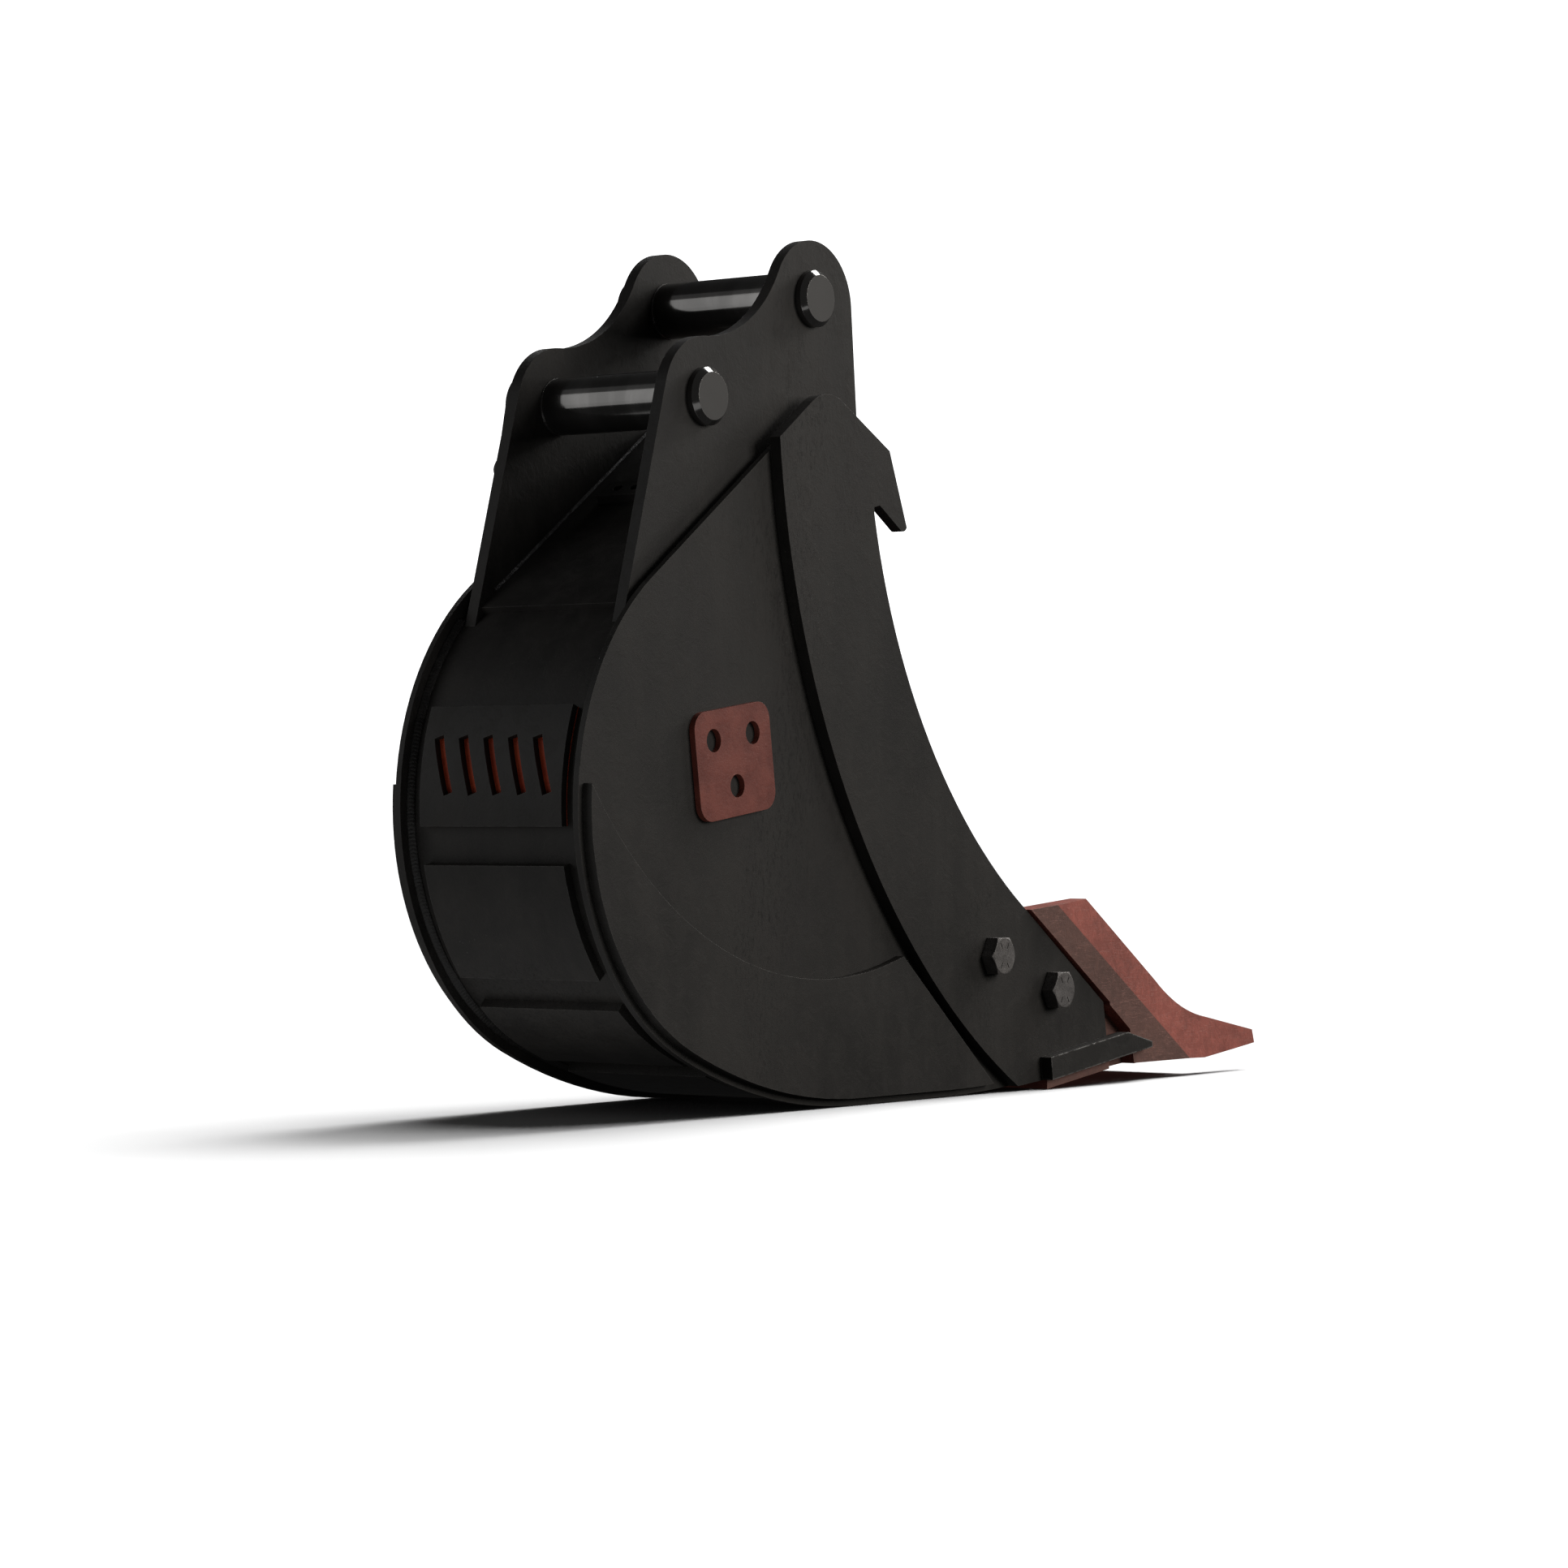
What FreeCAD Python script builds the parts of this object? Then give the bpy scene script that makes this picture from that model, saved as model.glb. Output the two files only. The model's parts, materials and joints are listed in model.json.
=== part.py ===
import FreeCAD, Part
import math
import os

# A narrow trenching bucket for a small excavator. Millimetres.
# Frame: origin at the middle of the dipper pin, +X along the pins, +Y to the
# bucket's back, +Z up. The mouth and the cutting edge look towards -Y.
# Profile points are (y, z). Those of the top are measured from the rim's apex,
# those of the lower front from the toe, where the rim line ends, and those of the
# ears from a pin. "Inset" is a distance inwards from the rim line.

# Pins and ears
pin_d = 45.0                    # both pins
pin_clearance = 0.05            # radial, pin in ear bore
link_pin_at = (140.5, -88.5)    # link pin centre, from the dipper pin
ear_gap = 134.4                 # between the two ears
ear_t = 10.0
ear_side_gap = 6.8              # ear to side plate, filled with weld
ear_wall = 29.5                 # lobe radius past the pin's
ear_lobe_shift = (-2.4, -5.3)   # lobe centre from its pin centre
ear_neck_r = 113.0              # hollow curve between the two lobes
ear_back_pitch = 16.0           # degrees off the vertical
ear_tip_drop = 177.5            # below the link pin
ear_front_foot = (-72.2, -31.5)
pin_end_out = 9.0               # plain end past the near ear
pin_chamfer = 4.0
pin_groove = (2.0, 1.0)         # width and depth of the shoulder grooves
groove_to_ear = 1.0

# Pin keepers, on the far ear
boss_r = 12.0
boss_h = 12.0
boss_past_pin = 31.5            # boss centre past the pin's surface
dipper_boss_pitch = -86.0       # degrees, direction from pin to boss
link_boss_pitch = -66.0
keeper_bolt_d = 12.0
keeper_bolt_af = 18.0
keeper_bolt_head = 7.5
keeper_hole_clearance = 0.5
keeper_washer_t = 2.5
keeper_washer_r = 12.0
flag_t = 8.0
flag_end_r = 17.0
flag_gap = 0.3                  # flag to boss

# Shell: the rim line goes up the brow, over the apex and down the slope
apex = (8.7, -80.5)
brow_pitch = 27.9
brow_len = 71.0
apex_r = 30.0
slope_pitch = 35.4
slope_len = 259.5               # apex to the start of the heel
heel_r = 209.8
heel_turn = 120.8
toe_r = 549.0                   # from the heel down to the level floor
floor_len = 126.0
rise_r = 1245.0                 # from the floor up to the cutting edge
rise_turn = 5.2
rim_inset = 12.0                # shell plate set in from the side plates' rim
wrapper_t = 6.0
header_t = 8.0
header_len_on_slope = 52.0
hinge_plate_t = 6.0
hinge_plate_end = 281.0         # distance from the apex down the slope

# Sides
side_t = 5.0
mouth_r = 505.7
mouth_top = (-64.1, -86.8)
mouth_bottom = (1.9, 148.3)
side_plate_setback = 3.0
side_plate_start = 24.0          # along the rim from the foot of the brow
side_plate_to_lip = 4.0          # stops this far behind the lip's back face
bar_t = 10.0
bar_over_rim = 8.4              # bar stands out past the rim along the top
bar_back_r = 668.0
bar_back_top = (63.2, -34.9)
bar_back_bottom = (12.0, -0.8)
bar_bottom_mid = (-25.6, 2.4)
bar_front_corner = (-128.0, 20.4)
bar_cut_corner = (-127.8, 34.6)
bar_cut_top = (-122.5, 65.0)
hook_shoulder = (-85.7, -35.9)
hook_tip = (-109.8, -96.0)
hook_inner = (-101.7, -99.0)
hook_end_r = 6.0
notch_front = (-72.0, -80.5)
notch_back = (-64.1, -82.2)

# Side cutters and their bolts
cutter_t = 22.0
cutter_proud = 2.5              # past the bar's outer face
cutter_gap = 1.5                # bar's front edge to the cutter's cheek
bolt_rear = (50.8, 109.6)
bolt_pitch = 97.6
bolt_line_pitch = 18.6          # degrees the bolt line falls to the front
flange_back = 28.0
flange_half = 30.0
flange_gap = 4.0                # side plate cut back round the flange
blade_top_back = (-4.2, 146.9)
blade_bevel_top = (-46.0, 150.3)
blade_bevel_foot = (-263.9, 10.4)
blade_edge_top = (-95.5, 154.8)
blade_edge_foot = (-209.3, 81.4)
bevel_w = 100.0                 # both bevels would meet this far past the bevel line
bevel_end_t = 2.0
cheek_corner = (-162.4, 40.4)
blade_under = 10.4              # underside, above the toe
nose_tip_top = (-388.0, 31.0)
nose_tip_foot = (-390.5, 19.0)
nose_mid_top = (-295.8, 46.4)
nose_mid_foot = (-353.0, 15.4)
nose_heel = (-292.0, 9.8)
bolt_d = 20.0
bolt_af = 30.0
bolt_head = 12.5
bolt_hole_clearance = 1.0
bolt_end = 3.0
washer_t = 3.0
washer_r = 18.5
nut_h = 16.0
mark_size = (5.5, 0.9, 0.5)     # radial marks on the bolt heads: length, width, depth
mark_r = 9.5
mark_pitches = (60, 120, 240, 300)

# Cutting edge (lip plate)
lip_back = -29.3                # back face, past the toe
lip_back_top = 2.4
lip_bend = (-173.0, 10.4)       # where the underside turns level
lip_mid_foot = (-120.0, 6.4)
lip_front = -297.0
lip_front_rise = 8.0
lip_bevel = 34.0
lip_rise = 6.0                  # lip's top at the bevel, above the bar's front corner
lip_lap = 48.0                  # shell plate laps this far over the lip
lip_side_gap = 0.5
lip_reach = ((60, 150), (60, -60), (-420, -60), (-420, 150))  # box that holds the lip

# Wear plates, badge, name plate, pad
wear_t = 8.0
wear_side_gap = 16.0            # strip end to side plate
wear_starts = (246.5, 378.5, 501.5, 658.5)  # past the start of the heel
wear_lengths = (99.0, 93.0, 124.0)
wear_stop = 101.0               # the last strip ends this far before the toe
crescent_t = 8.0
crescent_inset = 6.0
crescent_start = 183.5          # past the start of the heel
crescent_stop = 45.0            # before the toe
crescent_hollow_r = 365.0
crescent_front_top = (177.5, 112.2)
runner_t = 11.0
runner_outline = (
    (-22.4, 22.1), (-145.9, 38.4), (-185.7, 29.1),
    (-186.3, 24.1), (-132.6, 17.2), (-24.9, 2.9),
)
badge_t = 5.0
badge_centre = (114.3, -287.5)
badge_size = (96.0, 84.0)
badge_corner = 14.0
badge_hole_r = 9.0
badge_hole_inset = 23.0          # hole centre from the badge's edges
badge_tilt = -8.0
plate_side_gap = 15.0
plate_t = 6.0
plate_backing_t = 1.0
plate_span = (121.5, 216.5)     # past the start of the heel
plate_slot = (9.0, 46.0)
plate_slot_pitch = 24.0
plate_slot_lean = 18.0
plate_slots = 5
pad_t = 7.0
pad_half = 46.0
pad_span = (43.0, 65.0)         # from the end of the header plate
pad_hole_r = 4.0
pad_holes_x = (-31.0, -14.0, 14.0, 31.0)

# Welds
weld_leg = 6.0
slot_weld_sink = 2.0            # the bead beside the ear is this much lower in its middle
slot_weld_short = 14.0          # beads stop this far short of the ear's tip
ear_weld_short = 22.0
ear_weld_late = 4.0
shell_weld_end = 8.0            # bead stops short of the plate ends


def vec(x, point):
    return FreeCAD.Vector(x, point[0], point[1])


def aim(degrees):
    a = math.radians(degrees)
    return (math.cos(a), math.sin(a))


def along(point, direction, distance):
    return (point[0] + direction[0] * distance, point[1] + direction[1] * distance)


def right_of(direction):
    return (direction[1], -direction[0])


def low(offset):
    # a point measured from the toe
    return (toe[0] + offset[0], toe[1] + offset[1])


def high(offset):
    # a point measured from the apex
    return (apex[0] + offset[0], apex[1] + offset[1])


def rim_line():
    # steps of the rim line: (start, heading, length or radius, turn)
    turn = brow_pitch + slope_pitch
    tangent = apex_r * math.tan(math.radians(turn / 2))
    steps = []
    point = along(apex, aim(brow_pitch), -brow_len)
    heading = brow_pitch
    plan = [
        (brow_len - tangent, 0.0),
        (apex_r, turn),
        (slope_len - tangent, 0.0),
        (heel_r, heel_turn),
        (toe_r, 180.0 - slope_pitch - heel_turn),
        (floor_len, 0.0),
        (rise_r, rise_turn),
    ]
    for size, bend in plan:
        steps.append((point, heading, size, bend))
        point, heading = step_end(point, heading, size, bend)
    return steps


def step_end(point, heading, size, bend):
    if bend == 0:
        return along(point, aim(heading), size), heading
    centre = along(point, right_of(aim(heading)), size)
    return along(centre, right_of(aim(heading - bend)), -size), heading - bend


def step_length(step):
    return step[2] * math.radians(step[3]) if step[3] else step[2]


def cut_line(steps, start, end):
    # the part of a line of steps between two distances along it
    parts = []
    done = 0.0
    for point, heading, size, bend in steps:
        length = step_length((point, heading, size, bend))
        first = max(start - done, 0.0)
        last = min(end - done, length)
        done += length
        if last - first < 0.01:
            continue
        if bend == 0:
            parts.append((along(point, aim(heading), first), heading, last - first, 0.0))
            continue
        here, turned = point, heading
        if first:
            here, turned = step_end(point, heading, size, math.degrees(first / size))
        parts.append((here, turned, size, math.degrees((last - first) / size)))
    return parts


def line_edges(steps, inset, x):
    # edges along a line of steps, set in from it
    edges = []
    for point, heading, size, bend in steps:
        first = along(point, right_of(aim(heading)), inset)
        end, turned = step_end(point, heading, size, bend)
        last = along(end, right_of(aim(turned)), inset)
        if bend == 0:
            edges.append(Part.makeLine(vec(x, first), vec(x, last)))
            continue
        middle, half = step_end(point, heading, size, bend / 2)
        middle = along(middle, right_of(aim(half)), inset)
        edges.append(Part.Arc(vec(x, first), vec(x, middle), vec(x, last)).toShape())
    return edges


def point_on(steps, distance, inset):
    # place and heading at a distance along the line
    piece = cut_line(steps, distance, distance + 1.0)[0]
    return along(piece[0], right_of(aim(piece[1])), inset), piece[1]


def sweep(steps, section):
    # section: list of (inset, x); carried along straight and round steps
    solids = []
    for point, heading, size, bend in steps:
        side = right_of(aim(heading))
        corners = [vec(x, along(point, side, inset)) for inset, x in section]
        face = Part.Face(Part.makePolygon(corners + corners[:1]))
        if bend == 0:
            solids.append(face.extrude(vec(0, aim(heading)) * size))
            continue
        centre = along(point, side, size)
        solids.append(face.revolve(vec(0, centre), FreeCAD.Vector(1, 0, 0), -bend))
    return join(solids)


def join(solids):
    if len(solids) == 1:
        return solids[0]
    return solids[0].multiFuse(solids[1:]).removeSplitter()


def strip(steps, inset, thickness, x_from, x_to):
    outer = inset + thickness
    return sweep(steps, [(inset, x_from), (outer, x_from), (outer, x_to), (inset, x_to)])


def slab(edges, x_from, x_to):
    # a plate whose outline is a list of edges drawn at x = 0
    face = Part.Face(Part.Wire(Part.__sortEdges__(edges)))
    face.translate(FreeCAD.Vector(x_from, 0, 0))
    return face.extrude(FreeCAD.Vector(x_to - x_from, 0, 0))


def plate(points, x_from, x_to):
    corners = [vec(0, p) for p in points]
    face = Part.Face(Part.makePolygon(corners + corners[:1]))
    face.translate(FreeCAD.Vector(x_from, 0, 0))
    return face.extrude(FreeCAD.Vector(x_to - x_from, 0, 0))


def rod(point, radius, x_from, x_to):
    return Part.makeCylinder(radius, x_to - x_from, vec(x_from, point), FreeCAD.Vector(1, 0, 0))


def line(a, b):
    return Part.makeLine(vec(0, a), vec(0, b))


def arc_between(a, b, centre, radius):
    # the short arc from a to b that bulges away from its centre
    middle = ((a[0] + b[0]) / 2, (a[1] + b[1]) / 2)
    away = (middle[0] - centre[0], middle[1] - centre[1])
    size = math.hypot(*away)
    top = along(centre, (away[0] / size, away[1] / size), radius)
    return Part.Arc(vec(0, a), vec(0, top), vec(0, b)).toShape()


def arc_through(a, b, radius, side):
    # arc from a to b of a given radius, centre on the given side (+1 left, -1 right)
    dx, dy = b[0] - a[0], b[1] - a[1]
    chord = math.hypot(dx, dy)
    drop = math.sqrt(radius ** 2 - (chord / 2) ** 2)
    middle = ((a[0] + b[0]) / 2, (a[1] + b[1]) / 2)
    centre = along(middle, (-dy / chord, dx / chord), side * drop)
    return arc_between(a, b, centre, radius)


def meet_circles(c1, r1, c2, r2, side):
    dx, dy = c2[0] - c1[0], c2[1] - c1[1]
    gap = math.hypot(dx, dy)
    a = (r1 ** 2 - r2 ** 2 + gap ** 2) / (2 * gap)
    h = math.sqrt(r1 ** 2 - a ** 2)
    foot = along(c1, (dx / gap, dy / gap), a)
    return along(foot, (-dy / gap, dx / gap), side * h)


def toward(a, b, distance):
    size = math.hypot(b[0] - a[0], b[1] - a[1])
    return along(a, ((b[0] - a[0]) / size, (b[1] - a[1]) / size), distance)


def hexagon(point, across_flats, x_from, x_to, chamfered_end):
    # hexagonal prism along X, one end turned down at its corners
    radius = across_flats / math.sqrt(3)
    points = [along(point, aim(60 * i), radius) for i in range(6)]
    body = plate(points, x_from, x_to)
    height = x_to - x_from
    wide = across_flats / 2 + height * 1.7
    near = across_flats / 2 - 0.3
    if chamfered_end > 0:
        cone = Part.makeCone(wide, near, height, vec(x_from, point), FreeCAD.Vector(1, 0, 0))
    else:
        cone = Part.makeCone(near, wide, height, vec(x_from, point), FreeCAD.Vector(1, 0, 0))
    return body.common(cone)


rim = rim_line()
toe, toe_heading = step_end(*rim[-1])
rim_length = sum(step_length(step) for step in rim)
apex_at = step_length(rim[0]) + step_length(rim[1]) / 2
slope_start = step_length(rim[0]) + step_length(rim[1])
header_end = slope_start + header_len_on_slope
ear_inner = ear_gap / 2
ear_outer = ear_inner + ear_t
side_inner = ear_outer + ear_side_gap
side_outer = side_inner + side_t
ear_lobe_r = pin_d / 2 + ear_wall
bar_outer = side_outer + bar_t
cutter_outer = bar_outer + cutter_proud
cutter_inner = cutter_outer - cutter_t
cutter_mid = cutter_outer - cutter_t / 2
bolt_aim = aim(180 + bolt_line_pitch)
bolt_up = aim(90 + bolt_line_pitch)
bolt_centres = [low(bolt_rear), along(low(bolt_rear), bolt_aim, bolt_pitch)]
heel_start = slope_start + step_length(rim[2])
ground = step_end(*rim[-3])[0][1]
lip_heel = (toe[0] + lip_back, ground)
under_blade = toe[1] + blade_under
shell_to_lip = [(toe, toe_heading, lip_lap - lip_back, 0.0)]
shell = cut_line(rim, header_end, rim_length) + shell_to_lip
nodes = {}


def both_sides(name, right_shape):
    # right is +X, left is its mirror image
    nodes[name + "_right"] = right_shape
    nodes[name + "_left"] = right_shape.mirror(FreeCAD.Vector(0, 0, 0), FreeCAD.Vector(1, 0, 0))


def bolt_frame(forward, up):
    return along(along(low(bolt_rear), bolt_aim, forward), bolt_up, up)


# Shell plates
def make_header():
    steps = cut_line(rim, 0.0, header_end)
    nodes["header_plate"] = strip(steps, rim_inset, header_t, -side_inner, side_inner)


def make_wrapper():
    nodes["wrapper"] = strip(shell, rim_inset, wrapper_t, -side_inner, side_inner)


def make_hinge_plate():
    start = header_end - header_len_on_slope
    end = slope_start - step_length(rim[1]) / 2 + hinge_plate_end
    steps = cut_line(rim, start, end)
    half = ear_inner
    nodes["hinge_plate"] = strip(steps, rim_inset - hinge_plate_t, hinge_plate_t, -half, half)


def make_side_plates():
    edges = line_edges(cut_line(rim, side_plate_start, rim_length), 0.0, 0.0)
    top = edges[0].Vertexes[0].Point
    foot = edges[-1].Vertexes[-1].Point
    start = (top.y, top.z)
    end = (foot.y, foot.z)
    inner_top = along(high(mouth_top), (1, 0), side_plate_setback)
    inner_low = along(low(mouth_bottom), (0.6, -0.8), side_plate_setback)
    front_low = (lip_heel[0] + side_plate_to_lip, low(bar_bottom_mid)[1] + 0.4)
    front_up = (front_low[0], inner_low[1] - 40.0)
    edges.append(line(end, front_low))
    edges.append(line(front_low, front_up))
    edges.append(line(front_up, inner_low))
    edges.append(arc_through(inner_low, inner_top, mouth_r + side_plate_setback, 1))
    edges.append(line(inner_top, start))
    body = slab(edges, side_inner, side_outer)
    clear = flange_gap
    window = [
        bolt_frame(-flange_back - clear, flange_half + 70.0),
        bolt_frame(-flange_back - clear, -flange_half - clear),
        bolt_frame(bolt_pitch * 2, -flange_half - clear),
        bolt_frame(bolt_pitch * 2, flange_half + 70.0),
    ]
    both_sides("side_plate", body.cut(plate(window, side_inner - 1, side_outer + 1)))


def bar_outline():
    over = -bar_over_rim
    top = line_edges(cut_line(rim, 0.0, slope_start), over, 0.0)
    first = top[0].Vertexes[0].Point
    last = top[-1].Vertexes[-1].Point
    edges = list(top)
    edges.append(line((last.y, last.z), high(bar_back_top)))
    edges.append(arc_through(high(bar_back_top), low(bar_back_bottom), bar_back_r, -1))
    edges.append(line(low(bar_back_bottom), low(bar_bottom_mid)))
    edges.append(line(low(bar_bottom_mid), low(bar_front_corner)))
    edges.append(line(low(bar_front_corner), low(bar_cut_corner)))
    edges.append(line(low(bar_cut_corner), low(bar_cut_top)))
    edges.append(line(low(bar_cut_top), low(mouth_bottom)))
    edges.append(arc_through(low(mouth_bottom), high(mouth_top), mouth_r, 1))
    edges.append(line(high(mouth_top), high(notch_back)))
    edges.append(line(high(notch_back), high(notch_front)))
    edges.append(line(high(notch_front), high(hook_inner)))
    edges.append(arc_through(high(hook_inner), high(hook_tip), hook_end_r, -1))
    edges.append(line(high(hook_tip), high(hook_shoulder)))
    edges.append(line(high(hook_shoulder), (first.y, first.z)))
    return edges


def make_side_bars():
    body = slab(bar_outline(), side_outer, bar_outer)
    for centre in bolt_centres:
        body = body.cut(rod(centre, bolt_d / 2 + bolt_hole_clearance, side_outer - 1, bar_outer + 1))
    both_sides("side_bar", body)


# Ears and pins
def ear_outline():
    lobe = ear_lobe_shift
    low_lobe = (link_pin_at[0] + lobe[0], link_pin_at[1] + lobe[1])
    neck = meet_circles(lobe, ear_lobe_r + ear_neck_r, low_lobe, ear_lobe_r + ear_neck_r, 1)
    neck_top = toward(lobe, neck, ear_lobe_r)
    neck_low = toward(low_lobe, neck, ear_lobe_r)
    back = aim(ear_back_pitch - 90)
    tip_z = link_pin_at[1] - ear_tip_drop
    back_top = along(low_lobe, (-back[1], back[0]), ear_lobe_r)
    tip = along(back_top, back, (back_top[1] - tip_z) / -back[1])
    reach = math.hypot(high(ear_front_foot)[0] - lobe[0], high(ear_front_foot)[1] - lobe[1])
    to_lobe = math.degrees(math.atan2(lobe[1] - high(ear_front_foot)[1], lobe[0] - high(ear_front_foot)[0]))
    front_aim = aim(to_lobe + math.degrees(math.asin(ear_lobe_r / reach)))
    front_top = along(high(ear_front_foot), front_aim, math.sqrt(reach ** 2 - ear_lobe_r ** 2))
    crown = along(lobe, aim(80), ear_lobe_r)
    low_mid = along(low_lobe, aim(48), ear_lobe_r)
    neck_mid = toward(neck, ((neck_top[0] + neck_low[0]) / 2, (neck_top[1] + neck_low[1]) / 2), ear_neck_r)
    inside = (tip[0] - 40.0, tip[1])
    return [
        line(high(ear_front_foot), front_top),
        Part.Arc(vec(0, front_top), vec(0, crown), vec(0, neck_top)).toShape(),
        Part.Arc(vec(0, neck_top), vec(0, neck_mid), vec(0, neck_low)).toShape(),
        Part.Arc(vec(0, neck_low), vec(0, low_mid), vec(0, back_top)).toShape(),
        line(back_top, tip),
        line(tip, inside),
        line(inside, high(ear_front_foot)),
    ]


def under_shell():
    # everything inside the shell's outer face, to trim what stands on it
    edges = line_edges(cut_line(rim, 0.0, slope_start + slope_len + heel_r), rim_inset, 0.0)
    first = edges[0].Vertexes[0].Point
    last = edges[-1].Vertexes[-1].Point
    deep = (first.y, last.z)
    edges.append(line((last.y, last.z), deep))
    edges.append(line(deep, (first.y, first.z)))
    return slab(edges, -side_outer, side_outer)


def make_ears():
    body = slab(ear_outline(), ear_inner, ear_outer).cut(under_shell())
    for centre in ((0.0, 0.0), link_pin_at):
        body = body.cut(rod(centre, pin_d / 2 + pin_clearance, ear_inner - 1, ear_outer + 1))
    both_sides("ear", body)


def make_pin_set(name, centre, boss_pitch):
    radius = pin_d / 2
    near = -(ear_outer + pin_end_out)
    flag_from = ear_outer + boss_h + flag_gap
    flag_to = flag_from + flag_t
    pin = rod(centre, radius, near + pin_chamfer, flag_from)
    tip = Part.makeCone(radius - pin_chamfer, radius, pin_chamfer, vec(near, centre), FreeCAD.Vector(1, 0, 0))
    pin = pin.fuse(tip).removeSplitter()
    width, depth = pin_groove
    for start in (-ear_inner + groove_to_ear, ear_inner - groove_to_ear - width):
        ring = rod(centre, radius + 1, start, start + width).cut(rod(centre, radius - depth, start, start + width))
        pin = pin.cut(ring)
    nodes[name] = pin
    boss_at = along(centre, aim(boss_pitch), pin_d / 2 + boss_past_pin)
    side = right_of(aim(boss_pitch))
    flag_r = radius + 6.0
    waist = [
        along(centre, side, flag_r),
        along(boss_at, side, flag_end_r),
        along(boss_at, side, -flag_end_r),
        along(centre, side, -flag_r),
    ]
    flag = plate(waist, flag_from, flag_to)
    flag = join([flag, rod(centre, flag_r, flag_from, flag_to), rod(boss_at, flag_end_r, flag_from, flag_to)])
    bolt_r = keeper_bolt_d / 2
    flag = flag.cut(rod(boss_at, bolt_r + keeper_hole_clearance, flag_from - 1, flag_to + 1))
    nodes[name + "_flag"] = flag
    washer_to = flag_to + keeper_washer_t
    washer = rod(boss_at, keeper_washer_r, flag_to, washer_to)
    nodes[name + "_keeper_washer"] = washer.cut(rod(boss_at, bolt_r, flag_to, washer_to))
    shank = rod(boss_at, bolt_r, ear_outer + 1.0, washer_to)
    head = hexagon(boss_at, keeper_bolt_af, washer_to, washer_to + keeper_bolt_head, 1)
    nodes[name + "_keeper_bolt"] = shank.fuse(head).removeSplitter()
    boss = rod(boss_at, boss_r, ear_outer, ear_outer + boss_h)
    hole = rod(boss_at, bolt_r + keeper_hole_clearance, ear_outer - 1, ear_outer + boss_h + 1)
    nodes[name + "_keeper_boss"] = boss.cut(hole)


def make_pins():
    make_pin_set("dipper_pin", (0.0, 0.0), dipper_boss_pitch)
    make_pin_set("link_pin", link_pin_at, link_boss_pitch)


# Cutting edge and side cutters
def make_cutting_edge():
    lap = strip(shell_to_lip, rim_inset, wrapper_t, -cutter_outer, cutter_outer)
    lap_start = along(toe, right_of(aim(toe_heading)), rim_inset)
    lap_back = along(lap_start, aim(toe_heading), -lip_back)
    lap_end = along(lap_start, aim(toe_heading), lip_lap - lip_back)
    step_top = along(lap_end, right_of(aim(toe_heading)), wrapper_t)
    wing_foot = (low(bar_front_corner)[0], low(lip_mid_foot)[1] + 1.0)
    wings = [low((lip_back, lip_back_top)), lip_heel, low(lip_mid_foot), wing_foot, low(bar_front_corner)]
    middle = [
        lap_back,
        lip_heel,
        low(lip_mid_foot),
        low(lip_bend),
        (low((lip_front, 0))[0], under_blade),
        (low((lip_front, 0))[0], under_blade + lip_front_rise / 2),
        (low((lip_front, 0))[0] + lip_bevel, low(bar_front_corner)[1] + lip_rise),
        step_top,
        lap_end,
    ]
    core = plate(middle, -(cutter_inner - lip_side_gap), cutter_inner - lip_side_gap)
    wings = plate(wings, -cutter_outer, cutter_outer)
    reach = [low(corner) for corner in lip_reach]
    inside = plate(reach, -side_inner, side_inner)
    core = core.common(inside).cut(lap)
    nodes["cutting_edge"] = core.fuse(wings).removeSplitter()


def bevel_stock():
    # bar of stock as thick as the cutter, thinned evenly past the bevel line
    foot, head = low(blade_bevel_foot), low(blade_bevel_top)
    rise = (foot[1] - head[1], foot[0] - head[0])
    length = math.hypot(*rise)
    run = (rise[1] / length, rise[0] / length)
    out = right_of(run)
    start = along(low(blade_bevel_top), run, -length)
    section = [
        (-length * 2, cutter_inner),
        (-length * 2, cutter_outer),
        (0.0, cutter_outer),
        (bevel_w, cutter_mid + bevel_end_t / 2),
        (bevel_w, cutter_mid - bevel_end_t / 2),
        (0.0, cutter_inner),
    ]
    corners = [vec(x, along(start, out, distance)) for distance, x in section]
    face = Part.Face(Part.makePolygon(corners + corners[:1]))
    return face.extrude(vec(0, run) * (length * 3))


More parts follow.
